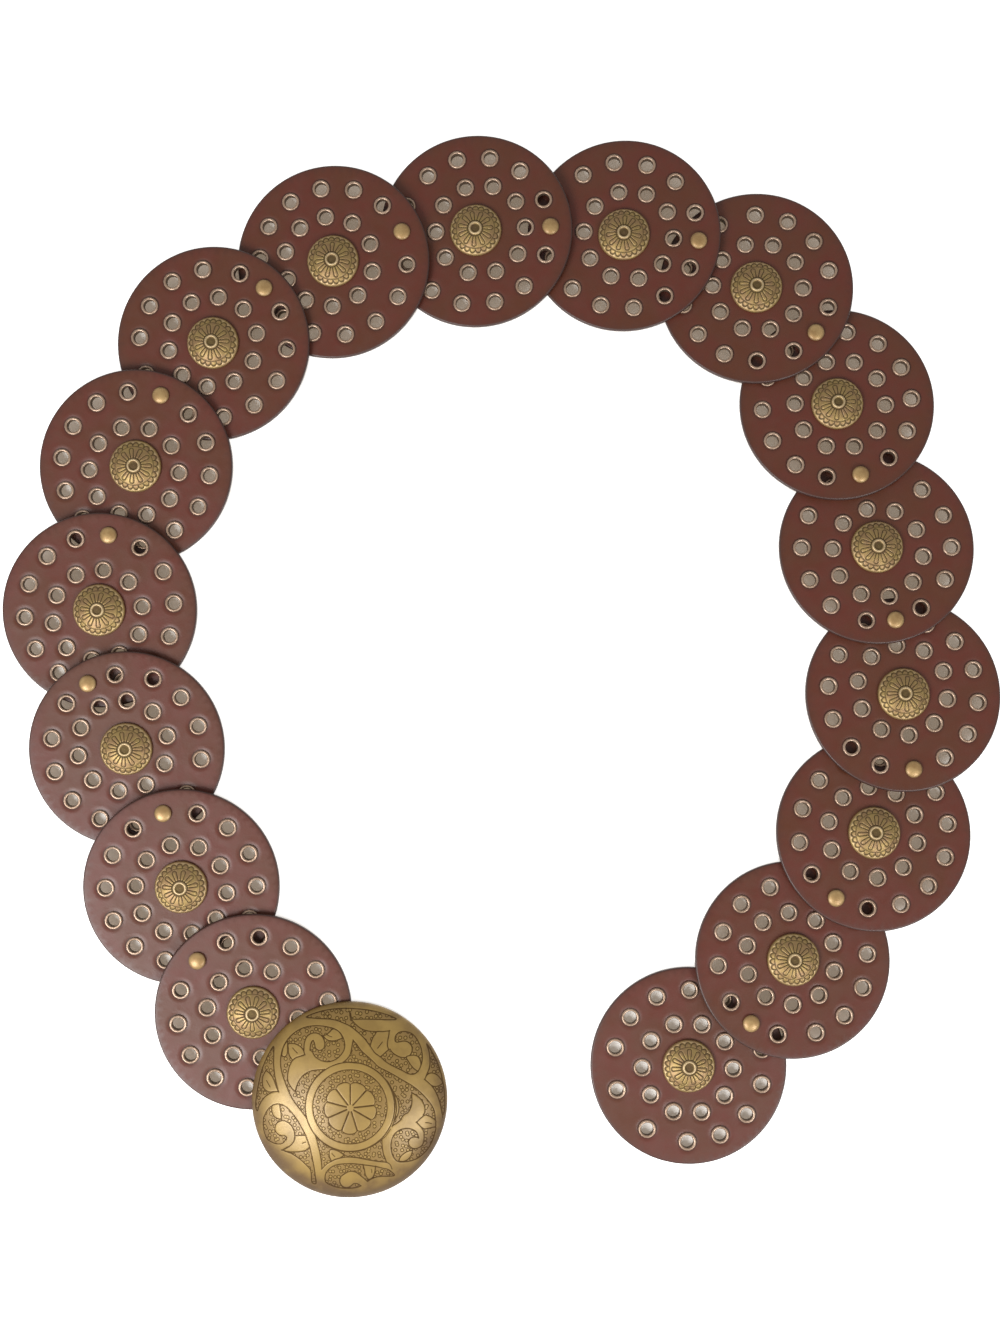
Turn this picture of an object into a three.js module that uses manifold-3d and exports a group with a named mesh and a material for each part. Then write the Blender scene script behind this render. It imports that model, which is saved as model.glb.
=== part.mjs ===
// Concho belt lying flat and unfastened: punched leather discs riveted into an open chain,
// a cast concho on each disc, and a domed buckle with a hidden hook on the last one.
// Millimetres, +Z up, floor at Z = 0, origin under the middle of the belt's own box.
import * as THREE from 'three';
import { mergeVertices } from 'three/addons/utils/BufferGeometryUtils.js';
import Module from 'manifold-3d';

const wasm = await Module();
wasm.setup();

// Leather discs
const discDiameter = 76.2;
const leatherThickness = 2.4;
const rivetInset = 8.85;          // from a disc's edge in to its rivets
const layerClearance = 0.3;       // least space between two discs where they overlap
const freeEndDrop = 0.7;          // the first disc's free edge lies this much under its rivet

// Eyelet holes, given as the open bore of the eyelet
const eyeletBore = 5.1;
const outerPositions = 14;        // places on the rivets' circle, two of them taken by rivets
const innerPositions = 10;
const innerRingShare = 0.395;     // of the way from the concho's edge out to the rivets' circle
const punchedDiscs = 5;           // discs from the free end whose eyelets are cut, for the hook

// Rivets that join the discs
const rivetCapDiameter = 6.6;
const rivetCapHeight = 1.5;
const rivetBackThickness = 1.0;
const rivetShaftDiameter = 3.0;
const rivetHoleClearance = 0.35;  // around a shaft
const seatGap = 0.15;             // between a cap's edge and the leather

// Conchos
const conchoDiameter = 20.3;
const conchoHeight = 4.5;
const conchoSeatGap = 0.3;
const conchoPostDiameter = 2.6;

// Buckle
const buckleDiameter = 75.6;
const buckleRise = 12;
const buckleWall = 1.2;
const buckleRimEdge = 0.8;
const domeFullness = 0.75;        // 1 is a plain parabola, less is rounder at the rim
const buckleReach = 21.3;         // from its post to its middle
const buckleHeading = 319.5;      // degrees
const buckleTilt = 1.8;           // degrees, down towards the far rim
const rimClearance = 0.7;         // between the rim and the disc that passes under it

// Hidden clasp: a bar across the dome with the post near one end and the hook near the other
const barWidth = 8;
const barThickness = 1.2;
const barGap = 0.3;               // between the bar and the shell
const shoulderDiameter = 5.6;
const hookReach = 23;             // from the buckle's middle to the back of the hook
const hookLength = 9;
const hookWidth = 3.2;
const hookThickness = 1.4;
const hookMouth = 3.7;            // takes the leather and both flanges of an eyelet

// Roundness, in sides
const discSides = 36;
const eyeletSides = 8;
const rivetSides = 8;
const conchoSides = 12;
const postSides = 6;
const buckleSides = 32;
const buckleRings = 5;

// One row for each disc, from the free end to the buckle:
//   heading   direction from its last rivet to its next one, degrees
//   firstPull how far the eyelets beside the last rivet are pulled towards it, degrees
//   lastPull  the same for the eyelets beside the next rivet
//   turn      of the outer eyelets about the disc's middle, degrees
//   shift     of the inner eyelets off the middle, as a share of the band that they lie in
//   shiftAt   direction of that shift on the belt, degrees
const discTable = [
  { heading: 35.5, firstPull: 6.7, lastPull: 0.8, turn: 2, shift: 0.05, shiftAt: 253 },
  { heading: 55.5, firstPull: 3.7, lastPull: 3.3, turn: 0, shift: 0.05, shiftAt: 150 },
  { heading: 58.5, firstPull: 0, lastPull: 0, turn: 0, shift: 0.02, shiftAt: 132 },
  { heading: 96.5, firstPull: 0, lastPull: 0, turn: 0, shift: 0.09, shiftAt: 95 },
  { heading: 103, firstPull: 3.7, lastPull: 3.3, turn: 0, shift: 0.11, shiftAt: 284 },
  { heading: 107, firstPull: 0, lastPull: 0, turn: 0, shift: 0.07, shiftAt: 0 },
  { heading: 141.5, firstPull: 3.7, lastPull: 3.3, turn: 0, shift: 0.04, shiftAt: 30 },
  { heading: 174.5, firstPull: 3.7, lastPull: 3.3, turn: 0, shift: 0.1, shiftAt: 0 },
  { heading: 182, firstPull: 3.7, lastPull: 3.3, turn: 0, shift: 0.1, shiftAt: 15 },
  { heading: 202.5, firstPull: 0, lastPull: 0, turn: 0, shift: 0.09, shiftAt: 180 },
  { heading: 226.5, firstPull: 3.7, lastPull: 3.3, turn: 0, shift: 0.03, shiftAt: 110 },
  { heading: 250, firstPull: 0, lastPull: 0, turn: 0, shift: 0.1, shiftAt: 251 },
  { heading: 262.5, firstPull: 0, lastPull: 0, turn: 0, shift: 0.1, shiftAt: 250 },
  { heading: 300.5, firstPull: 3.7, lastPull: 3.3, turn: 0, shift: 0.1, shiftAt: 140 },
  { heading: 283.5, firstPull: 0, lastPull: 0, turn: 0, shift: 0.05, shiftAt: 270 },
  { heading: 317, firstPull: 0, lastPull: 0, turn: 0, shift: 0.02, shiftAt: 240 },
];

const discRadius = discDiameter / 2;
const rivetCircle = discRadius - rivetInset;   // radius on which rivets and outer eyelets lie
const rivetSpan = 2 * rivetCircle;
const conchoRadius = conchoDiameter / 2;
const eyeletBand = rivetCircle - conchoRadius;
const capRadius = rivetCapDiameter / 2;
const buckleRadius = buckleDiameter / 2;
const up = new THREE.Vector3(0, 0, 1);

const leather = new THREE.MeshStandardMaterial({ color: 0x6b4038, roughness: 0.5, metalness: 0 });
const antiqueBrass = new THREE.MeshStandardMaterial({ color: 0x8a6f3a, roughness: 0.42, metalness: 1 });
const brightBrass = new THREE.MeshStandardMaterial({ color: 0xb08a48, roughness: 0.28, metalness: 1 });

function heading(degrees) {
  const angle = THREE.MathUtils.degToRad(degrees);
  return new THREE.Vector2(Math.cos(angle), Math.sin(angle));
}

function circle(centre, radius, sides) {
  return Array.from({ length: sides }, (_, side) =>
    heading((side + 0.5) * 360 / sides).multiplyScalar(radius).add(centre));
}

function lathe(profile, sides) {
  return new THREE.LatheGeometry(profile.map(([radius, height]) => new THREE.Vector2(radius, height)), sides)
    .rotateX(Math.PI / 2);
}

// Joins closed meshes that pass into each other to one closed mesh
function fuse(...geometries) {
  const solids = geometries.map((geometry) => {
    const bare = geometry.clone();
    bare.deleteAttribute('normal');
    bare.deleteAttribute('uv');
    const merged = mergeVertices(bare, 1e-4);
    return new wasm.Manifold(new wasm.Mesh({
      numProp: 3,
      vertProperties: new Float32Array(merged.attributes.position.array),
      triVerts: new Uint32Array(merged.index.array),
    }));
  });
  const result = solids.reduce((whole, solid) => whole.add(solid)).getMesh();
  const geometry = new THREE.BufferGeometry();
  geometry.setAttribute('position', new THREE.BufferAttribute(new Float32Array(result.vertProperties), 3));
  geometry.setIndex(Array.from(result.triVerts));
  return geometry;
}

function named(name, geometry, material) {
  const mesh = new THREE.Mesh(geometry, material);
  mesh.name = name;
  return mesh;
}

function numbered(stem, index) {
  return `${stem}_${String(index + 1).padStart(2, '0')}`;
}

// Plan of the chain: each disc turns about the rivet that it shares with the one before
function layOutDiscs() {
  const place = new THREE.Vector2();
  return discTable.map((row, index) => {
    const along = heading(row.heading);
    if (index > 0) place.addScaledVector(along, rivetCircle);
    const centre = place.clone();
    place.addScaledVector(along, rivetCircle);
    return { ...row, along, centre, nextRivet: place.clone() };
  });
}

const discs = layOutDiscs();
const lastDisc = discs[discs.length - 1];
const buckleAlong = heading(buckleHeading);
const buckleCentre = lastDisc.nextRivet.clone().addScaledVector(buckleAlong, buckleReach);

// Each disc lies over the one before it at their rivet and under the next one at the other, so it
// falls along the chain. fall is the slope's direction and size for a unit drop over a unit length.
discs.forEach((disc, index) => {
  const before = discs[index - 1];
  const after = discs[index + 1];
  const chord = (after ? after.centre : buckleCentre).clone().sub(before ? before.centre : disc.centre);
  chord.normalize();
  disc.fall = before ? chord.divideScalar(chord.dot(disc.along)) : new THREE.Vector2();
});

// The two corners of the area where a disc and the next round piece overlap
function overlapCorners(centreA, radiusA, centreB, radiusB) {
  const across = centreB.clone().sub(centreA);
  const distance = across.length();
  across.normalize();
  const inward = (distance ** 2 + radiusA ** 2 - radiusB ** 2) / (2 * distance);
  const sideways = Math.sqrt(radiusA ** 2 - inward ** 2);
  const middle = centreA.clone().addScaledVector(across, inward);
  const square = new THREE.Vector2(-across.y, across.x);
  return [1, -1].map((side) => middle.clone().addScaledVector(square, side * sideways));
}

// Drop from rivet to rivet that keeps the clearance at the corners of every overlap
const freeEndSlope = freeEndDrop / (rivetCircle + discRadius);
const rise = Math.max(...discs.slice(0, -1).flatMap((disc, index) => {
  const next = discs[index + 1];
  const lift = index === 0 ? freeEndSlope : 0;
  return overlapCorners(disc.centre, discRadius, next.centre, discRadius).map((corner) => {
    const away = corner.sub(disc.nextRivet);
    const opening = 1 + disc.fall.clone().sub(next.fall).dot(away) / rivetSpan;
    return (leatherThickness + layerClearance + lift * disc.along.dot(away)) / opening;
  });
}));
const steepest = rise / rivetSpan * Math.max(...discs.map((disc) => disc.fall.length()));
const capGap = seatGap + capRadius * steepest;
const lowerSeat = rivetBackThickness + capGap;   // underside of the lower disc at a rivet

// Underside of a disc: its height at the middle and its gradient
discs.forEach((disc, index) => {
  disc.gradient = index === 0
    ? disc.along.clone().multiplyScalar(freeEndSlope)
    : disc.fall.clone().multiplyScalar(-rise / rivetSpan);
  disc.height = lowerSeat - disc.gradient.dot(disc.along) * rivetCircle;
});

function undersideAt(disc, point) {
  return disc.height + disc.gradient.dot(point.clone().sub(disc.centre));
}

function leanWith(mesh, disc) {
  const normal = new THREE.Vector3(-disc.gradient.x, -disc.gradient.y, 1).normalize();
  mesh.quaternion.setFromUnitVectors(up, normal)
    .multiply(new THREE.Quaternion().setFromAxisAngle(up, THREE.MathUtils.degToRad(disc.heading)));
  mesh.position.set(disc.centre.x, disc.centre.y, disc.height);
  return mesh;
}

// Places of the eyelets on a disc, with its next rivet along +X
function eyeletPlaces(disc) {
  const spacing = 360 / outerPositions;
  const pairs = outerPositions / 2 - 1;
  const places = [];
  for (let step = 1; step <= pairs; step += 1) {
    const pull = (step === 1 ? disc.firstPull : 0) + (step === pairs ? -disc.lastPull : 0);
    const angle = step * spacing - pull;
    for (const side of [1, -1]) {
      places.push(heading(180 + side * angle + disc.turn).multiplyScalar(rivetCircle));
    }
  }
  const middle = heading(disc.shiftAt - disc.heading).multiplyScalar(disc.shift * eyeletBand);
  const innerRadius = conchoRadius + innerRingShare * eyeletBand;
  for (let step = 0; step < innerPositions; step += 1) {
    places.push(heading(step * 360 / innerPositions).multiplyScalar(innerRadius).add(middle));
  }
  return places;
}

function makeDisc(disc, index) {
  const middle = new THREE.Vector2();
  const nextRivet = new THREE.Vector2(rivetCircle, 0);
  const lastRivet = new THREE.Vector2(-rivetCircle, 0);
  const rivetHole = rivetShaftDiameter / 2 + rivetHoleClearance;
  const postHole = conchoPostDiameter / 2 + rivetHoleClearance;
  const shape = new THREE.Shape(circle(middle, discRadius, discSides));
  const cut = (place, radius, sides) => shape.holes.push(new THREE.Path(circle(place, radius, sides)));
  cut(middle, postHole, postSides);
  cut(nextRivet, rivetHole, rivetSides);
  if (index > 0) cut(lastRivet, rivetHole, rivetSides);
  if (index < punchedDiscs) {
    for (const place of eyeletPlaces(disc)) cut(place, eyeletBore / 2, eyeletSides);
  }
  const geometry = new THREE.ExtrudeGeometry(shape, { depth: leatherThickness, bevelEnabled: false });
  return leanWith(named(numbered('disc', index), geometry, leather), disc);
}

// A domed head with a raised ring round its dimpled middle, and a post through the leather
function makeConcho(disc, index) {
  const seat = leatherThickness + conchoSeatGap;
  const profile = [[1, 0], [1, 0.15], [0.68, 0.66], [0.26, 1]]
    .map(([radius, height]) => [radius * conchoRadius, seat + height * conchoHeight]);
  const head = lathe([[0, seat], ...profile, [0, seat + 0.9 * conchoHeight]], conchoSides);
  const postLength = seat + conchoHeight / 2;
  const post = new THREE.CylinderGeometry(conchoPostDiameter / 2, conchoPostDiameter / 2, postLength, postSides)
    .rotateX(Math.PI / 2).translate(0, 0, postLength / 2);
  return leanWith(named(numbered('concho', index), fuse(head, post), antiqueBrass), disc);
}

function makeRivet(disc, index) {
  const under = lowerSeat + rise + leatherThickness + capGap;
  const shaft = rivetShaftDiameter / 2;
  const rivet = named(numbered('rivet', index), lathe([
    [0, 0], [capRadius, 0], [capRadius, rivetBackThickness], [shaft, rivetBackThickness],
    [shaft, under], [capRadius, under], [0.62 * capRadius, under + 0.8 * rivetCapHeight],
    [0, under + rivetCapHeight],
  ], rivetSides), brightBrass);
  rivet.position.set(disc.nextRivet.x, disc.nextRivet.y, 0);
  return rivet;
}

// Height of the buckle's middle that carries its rim over the last disc
const tiltAngle = THREE.MathUtils.degToRad(buckleTilt);
const nearRim = buckleCentre.clone().addScaledVector(buckleAlong, -buckleRadius);
const rimCrossings = overlapCorners(lastDisc.centre, discRadius, buckleCentre, buckleRadius);
const rimHeight = Math.max(...[nearRim, ...rimCrossings].map((point) =>
  undersideAt(lastDisc, point) + leatherThickness + rimClearance
    + Math.tan(tiltAngle) * buckleAlong.dot(point.clone().sub(buckleCentre))));

// In the buckle's own frame +X points away from its post and Z = 0 is the rim's plane
function floorUnder(distance) {
  return (distance * Math.sin(tiltAngle) - rimHeight) / Math.cos(tiltAngle);
}

function domeHeight(share, rise, edge) {
  return edge + (rise - edge) * (1 - share ** 2) ** domeFullness;
}

function makeBuckleShell() {
  const outer = [];
  const inner = [];
  for (let step = 0; step <= buckleRings; step += 1) {
    const share = Math.cos(step / buckleRings * Math.PI / 2);
    outer.push([share * buckleRadius, domeHeight(share, buckleRise, buckleRimEdge)]);
    inner.push([share * (buckleRadius - buckleWall), domeHeight(share, buckleRise - buckleWall, 0)]);
  }
  outer[buckleRings][0] = 0;
  inner[buckleRings][0] = 0;
  return named('buckle', lathe([...inner.reverse(), [buckleRadius, 0], ...outer], buckleSides), antiqueBrass);
}

function makeBuckleClasp() {
  const footDrop = capRadius * Math.tan(tiltAngle);
  const footBottom = floorUnder(hookReach) + footDrop;
  const barBottom = footBottom + hookThickness + hookMouth;
  const barTop = barBottom + barThickness;
  const innerRadius = buckleRadius - buckleWall;
  const wallShare = ((barTop + barGap) / (buckleRise - buckleWall)) ** (1 / domeFullness);
  const barReach = Math.sqrt(innerRadius ** 2 * (1 - wallShare) - (barWidth / 2) ** 2) - barGap;
  const bar = new THREE.BoxGeometry(2 * barReach, barWidth, barThickness)
    .translate(0, 0, barBottom + barThickness / 2);

  const hookOutline = new THREE.Shape();
  hookOutline.moveTo(hookReach, barBottom + barThickness / 2);
  hookOutline.lineTo(hookReach - hookThickness, barBottom + barThickness / 2);
  hookOutline.lineTo(hookReach - hookThickness, footBottom + hookThickness);
  hookOutline.lineTo(hookReach - hookLength, footBottom + hookThickness);
  hookOutline.lineTo(hookReach - hookLength, footBottom);
  hookOutline.lineTo(hookReach - hookThickness, footBottom);
  hookOutline.absarc(hookReach - hookThickness, footBottom + hookThickness, hookThickness, -Math.PI / 2, 0);
  const hook = new THREE.ExtrudeGeometry(hookOutline, { depth: hookWidth, bevelEnabled: false, curveSegments: 2 })
    .translate(0, 0, -hookWidth / 2).rotateX(Math.PI / 2);

  const postFloor = floorUnder(-buckleReach) + footDrop;
  const leatherTop = postFloor + lowerSeat + leatherThickness + capGap;
  const shaft = rivetShaftDiameter / 2;
  const shoulder = shoulderDiameter / 2;
  const backTop = postFloor + rivetBackThickness;
  const post = lathe([
    [0, postFloor], [capRadius, postFloor], [capRadius, backTop], [shaft, backTop],
    [shaft, leatherTop], [shoulder, leatherTop], [shoulder, barBottom + barThickness / 2],
    [0, barBottom + barThickness / 2],
  ], rivetSides).translate(-buckleReach, 0, 0);
  return named('buckle_clasp', fuse(bar, hook, post), brightBrass);
}

function makeBuckle() {
  const buckle = new THREE.Group();
  buckle.add(makeBuckleShell(), makeBuckleClasp());
  buckle.rotation.set(0, tiltAngle, THREE.MathUtils.degToRad(buckleHeading), 'ZYX');
  buckle.position.set(buckleCentre.x, buckleCentre.y, rimHeight);
  return buckle;
}

const belt = new THREE.Group();
discs.forEach((disc, index) => {
  belt.add(makeDisc(disc, index), makeConcho(disc, index));
  if (disc !== lastDisc) belt.add(makeRivet(disc, index));
});
belt.add(makeBuckle());

const box = new THREE.Box3().setFromObject(belt, true);
const middle = box.getCenter(new THREE.Vector3());
belt.position.set(-middle.x, -middle.y, -box.min.z);

export default belt;
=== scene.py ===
import math

import bpy
import numpy as np
from mathutils import Matrix, Vector
from mathutils.geometry import delaunay_2d_cdt


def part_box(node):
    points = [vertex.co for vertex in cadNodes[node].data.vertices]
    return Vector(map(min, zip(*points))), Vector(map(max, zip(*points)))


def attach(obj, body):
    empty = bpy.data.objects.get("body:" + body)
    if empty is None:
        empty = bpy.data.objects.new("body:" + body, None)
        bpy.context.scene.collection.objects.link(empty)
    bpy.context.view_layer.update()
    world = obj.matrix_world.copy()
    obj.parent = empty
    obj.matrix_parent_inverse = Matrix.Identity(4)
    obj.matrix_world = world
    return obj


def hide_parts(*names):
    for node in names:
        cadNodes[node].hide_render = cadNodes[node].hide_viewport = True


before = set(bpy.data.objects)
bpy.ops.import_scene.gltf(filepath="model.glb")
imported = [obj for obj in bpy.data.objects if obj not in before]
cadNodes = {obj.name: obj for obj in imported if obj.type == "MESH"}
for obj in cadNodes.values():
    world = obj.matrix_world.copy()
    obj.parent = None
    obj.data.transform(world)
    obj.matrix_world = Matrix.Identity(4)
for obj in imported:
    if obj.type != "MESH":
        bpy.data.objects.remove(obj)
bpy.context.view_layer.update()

# Sizes below are in millimetres unless a note says otherwise, and mm turns them into Blender's metres
mm = 0.001
discCount = sum(name.startswith("disc_") for name in cadNodes)

# One row for each disc, from the free end to the buckle, as in the part's source:
# pulls of the eyelets beside the two rivets (degrees), turn of the outer ring (degrees),
# and the inner ring's shift (share of its band) with its direction on the belt (degrees)
eyeletColumns = ("firstPull", "lastPull", "turn", "shift", "shiftAt")
eyeletRows = [
    (6.7, 0.8, 2, 0.05, 253), (3.7, 3.3, 0, 0.05, 150), (0, 0, 0, 0.02, 132),
    (0, 0, 0, 0.09, 95), (3.7, 3.3, 0, 0.11, 284), (0, 0, 0, 0.07, 0),
    (3.7, 3.3, 0, 0.04, 30), (3.7, 3.3, 0, 0.1, 0), (3.7, 3.3, 0, 0.1, 15),
    (0, 0, 0, 0.09, 180), (3.7, 3.3, 0, 0.03, 110), (0, 0, 0, 0.1, 251),
    (0, 0, 0, 0.1, 250), (3.7, 3.3, 0, 0.1, 140), (0, 0, 0, 0.05, 270),
    (0, 0, 0, 0.02, 240),
]


# Shader maths: a Wire wraps an output socket, and an expression on wires adds Math nodes
class Wire:
    def __init__(self, finish, socket):
        self.finish = finish
        self.socket = socket

    def math(self, operation, *values, clamp=False):
        return self.finish.add("ShaderNodeMath", {"operation": operation, "use_clamp": clamp},
                               dict(enumerate(values)))

    def __add__(self, other):
        return self.math("ADD", self, other)

    def __radd__(self, other):
        return self.math("ADD", other, self)

    def __sub__(self, other):
        return self.math("SUBTRACT", self, other)

    def __rsub__(self, other):
        return self.math("SUBTRACT", other, self)

    def __mul__(self, other):
        return self.math("MULTIPLY", self, other)

    def __rmul__(self, other):
        return self.math("MULTIPLY", other, self)

    def __truediv__(self, other):
        return self.math("DIVIDE", self, other)

    def smaller(self, other):
        return self.math("MINIMUM", self, other)

    def larger(self, other):
        return self.math("MAXIMUM", self, other)

    def size(self):
        return self.math("ABSOLUTE", self)

    def clamp(self):
        return self.math("ADD", self, 0.0, clamp=True)

    def range(self, low, high):      # 0 at low, 1 at high, smooth between
        return self.finish.add("ShaderNodeMapRange", {"interpolation_type": "SMOOTHSTEP"},
                               {"Value": self, "From Min": low, "From Max": high})


class Finish:
    def __init__(self, name):
        self.material = bpy.data.materials.new(name)
        self.material.use_nodes = True
        self.tree = self.material.node_tree
        self.shader = self.tree.nodes["Principled BSDF"]

    def feed(self, socket, value):
        if isinstance(value, Wire):
            self.tree.links.new(value.socket, socket)
        elif isinstance(value, tuple) and len(value) == 3 and socket.type == "RGBA":
            socket.default_value = (*value, 1)
        else:
            socket.default_value = value

    def add(self, kind, settings=None, values=None, output=0):
        node = self.tree.nodes.new(kind)
        for key, value in (settings or {}).items():
            setattr(node, key, value)
        for key, value in (values or {}).items():
            self.feed(node.inputs[key], value)
        return Wire(self, node.outputs[output])

    def place(self):
        return self.add("ShaderNodeTexCoord", output="Object")

    def attribute(self, name):
        return self.add("ShaderNodeAttribute", {"attribute_name": name}, output="Fac")

    def noise(self, size, detail=3.0, roughness=0.5):      # size of a blotch in mm
        return self.add("ShaderNodeTexNoise", None, {
            "Vector": self.place(), "Scale": 1 / (size * mm), "Detail": detail, "Roughness": roughness})

    def mix(self, factor, first, second):
        return self.add("ShaderNodeMix", {"data_type": "RGBA"}, {0: factor, 6: first, 7: second}, output=2)

    def bump(self, height, strength, depth):
        return self.add("ShaderNodeBump", None,
                        {"Height": height, "Strength": strength, "Distance": depth * mm})

    def finish(self, **inputs):
        for key, value in inputs.items():
            self.feed(self.shader.inputs[key.replace("_", " ")], value)
        return self.material


def leatherFinish():
    look = dict(red=(0.09, 0.0165, 0.0075), brown=(0.08, 0.02, 0.006), worn=(0.076, 0.024, 0.012),
                edge=(0.03, 0.011, 0.008), back=(0.16, 0.1, 0.065))
    finish = Finish("leather")
    tone = finish.noise(17, 3).range(0.35, 0.65)
    grain = finish.noise(0.55, 2)
    creases = finish.add("ShaderNodeTexVoronoi", {"feature": "DISTANCE_TO_EDGE"}, {
        "Vector": finish.place(), "Scale": 1 / (0.9 * mm), "Randomness": 1.0})
    # The edge attribute and edge colour darken the leather's cut edge and rim, which is its own colour, and also
    # paint shade in a thin ring round each eyelet's flange.
    edge = finish.attribute("edge")
    back = finish.attribute("back")
    mottles = finish.noise(2.6, 3, 0.6).range(0.3, 0.7)
    smooth = finish.mix(tone, look["red"], look["brown"])
    mottled = finish.mix(mottles * 0.35, smooth, look["worn"])
    edgeDarkAndShade = finish.mix(edge, mottled, look["edge"])
    fuzz = finish.noise(0.25, 4, 0.7)
    wrinkles = finish.noise(5, 3, 0.55)
    height = creases.range(0.0, 0.25) * 0.5 + grain * 0.5 + fuzz * back * 2.0 + wrinkles * 5.0
    return finish.finish(
        Base_Color=finish.mix(back, edgeDarkAndShade, look["back"]),
        Roughness=(0.33 + 0.2 * finish.noise(6, 4) + 0.35 * back).clamp(),
        Specular_IOR_Level=0.5,
        Normal=finish.bump(height, 0.22, 0.05))


def brassFinish(name, look):
    finish = Finish(name)
    tone = finish.noise(look["blotch"], 4, 0.6)
    # The attribute read here holds patina in the conchos' lines and dish, with negative values where they are rubbed
    # bright, and painted shade in the eyelets' bores and round the rivets' caps; the noise adds real stains.
    patinaAndShade = finish.attribute("patinaAndShade")
    dirtAndShade = (patinaAndShade + (finish.noise(look["blotch"] * 0.4, 5, 0.65) - 0.5) * look["stain"]).clamp()
    metal = finish.mix(tone.range(0.35, 0.65), look["light"], look["deep"])
    rubbed = finish.mix((patinaAndShade * -1).clamp(), metal, look["rubbed"])
    scratches = finish.noise(0.22, 3, 0.7)
    return finish.finish(
        Base_Color=finish.mix(dirtAndShade, rubbed, look["dark"]),
        Metallic=(1 - dirtAndShade * 0.1) * look["metal"],
        Roughness=(look["roughness"] + 0.14 * tone + 0.25 * dirtAndShade).clamp(),
        Coat_Weight=look["coat"],
        Coat_Roughness=0.22,
        Normal=finish.bump(scratches, look["scratch"], 0.03))


def buckleFinish():
    look = dict(light=(0.268, 0.17, 0.042), deep=(0.212, 0.13, 0.03), pit=(0.19, 0.112, 0.027),
                dark=(0.06, 0.03, 0.008), rim=(0.1, 0.056, 0.021), pitch=1.95)
    finish = Finish("buckle_brass")
    outline = finish.attribute("ground")
    nearest = outline.size().smaller(finish.attribute("leaf").size()).smaller(finish.attribute("lines"))
    line = nearest.range(0.33, 0.12)
    ground = outline.range(0.0, -0.12)
    toStamp = finish.add("ShaderNodeTexVoronoi", {"voronoi_dimensions": "2D", "feature": "F1"}, {
        "Vector": finish.place(), "Scale": 1 / (look["pitch"] * mm), "Randomness": 0.75}) * look["pitch"] - 0.62
    stamp = toStamp.size().range(0.23, 0.08) * ground
    engraved = line.larger(stamp)
    tone = finish.noise(11, 4, 0.6).range(0.35, 0.65)
    wear = finish.noise(2.2, 4, 0.65)
    # radial is the share of the radius, raised towards the lower right: the rim's darkening is patina round the
    # edge, reached sooner on the lower right as painted shade.
    radial = finish.attribute("radial")
    rim = radial.range(0.8, 0.98)
    between = ground * toStamp.range(0.0, 0.3)
    metal = finish.mix(tone, look["light"], look["deep"])
    metal = finish.mix((between * (0.5 + wear * 0.7)).clamp(), metal, look["pit"])
    metal = finish.mix((rim * (0.5 + tone * 0.5)).clamp(), metal, look["rim"])
    # Painted shade: the lower right part of the rim is darkened further.
    metal = finish.mix(radial.range(0.96, 1.06) * 0.8, metal, look["dark"])
    dark = (engraved * (0.65 + wear * 0.5)).clamp()
    scratches = finish.noise(0.22, 3, 0.7)
    height = scratches * 0.12 - engraved
    return finish.finish(
        Base_Color=finish.mix(dark, metal, look["dark"]),
        Metallic=0.25 + 0.6 * dark,
        Roughness=(0.38 + 0.1 * tone + 0.25 * dark + 0.1 * rim).clamp(),
        Coat_Weight=(0.4 - 0.35 * dark.larger(rim)).clamp(),
        Coat_Roughness=0.32,
        Specular_IOR_Level=0.35,
        Normal=finish.bump(height, 0.45, 0.06))


def makeMaterials():
    return dict(
        leather=leatherFinish(),
        eyelet=brassFinish("eyelet_brass", dict(
            light=(0.4, 0.278, 0.198), deep=(0.32, 0.215, 0.145), dark=(0.04, 0.026, 0.018),
            rubbed=(0.4, 0.278, 0.198), metal=0.65,
            blotch=5, stain=0.15, roughness=0.3, scratch=0.1, coat=0.2)),
        rivet=brassFinish("rivet_brass", dict(
            light=(0.4, 0.262, 0.11), deep=(0.3, 0.18, 0.07), dark=(0.08, 0.042, 0.018),
            rubbed=(0.5, 0.36, 0.18), metal=0.5,
            blotch=4, stain=0.4, roughness=0.38, scratch=0.12, coat=0.22)),
        concho=brassFinish("concho_brass", dict(
            light=(0.31, 0.215, 0.08), deep=(0.265, 0.165, 0.08), dark=(0.045, 0.028, 0.009),
            rubbed=(0.47, 0.355, 0.2), metal=0.8,
            blotch=3, stain=0.42, roughness=0.45, scratch=0.2, coat=0.1)),
        buckle=buckleFinish(),
    )


def newPiece(name, vertices, faces, material, smoothBelow=None):
    mesh = bpy.data.meshes.new(name)
    mesh.from_pydata([tuple(vertex) for vertex in vertices], [], [tuple(face) for face in faces])
    mesh.materials.append(material)
    mesh.polygons.foreach_set("use_smooth", [True] * len(mesh.polygons))
    if smoothBelow is not None:
        mesh.set_sharp_from_angle(angle=math.radians(smoothBelow))
    piece = bpy.data.objects.new(name, mesh)
    bpy.context.scene.collection.objects.link(piece)
    return piece


def setAttribute(piece, name, values):
    attribute = piece.data.attributes.new(name, "FLOAT", "POINT")
    attribute.data.foreach_set("value", np.asarray(values, np.float32))


def settle(piece, replaced=()):
    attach(piece, "root")
    if replaced:
        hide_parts(*replaced)
    return piece


def middleOf(name):      # middle of a solid's box
    low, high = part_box(name)
    return (low + high) / 2


def numbered(stem, index):
    return f"{stem}_{index + 1:02d}"


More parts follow.
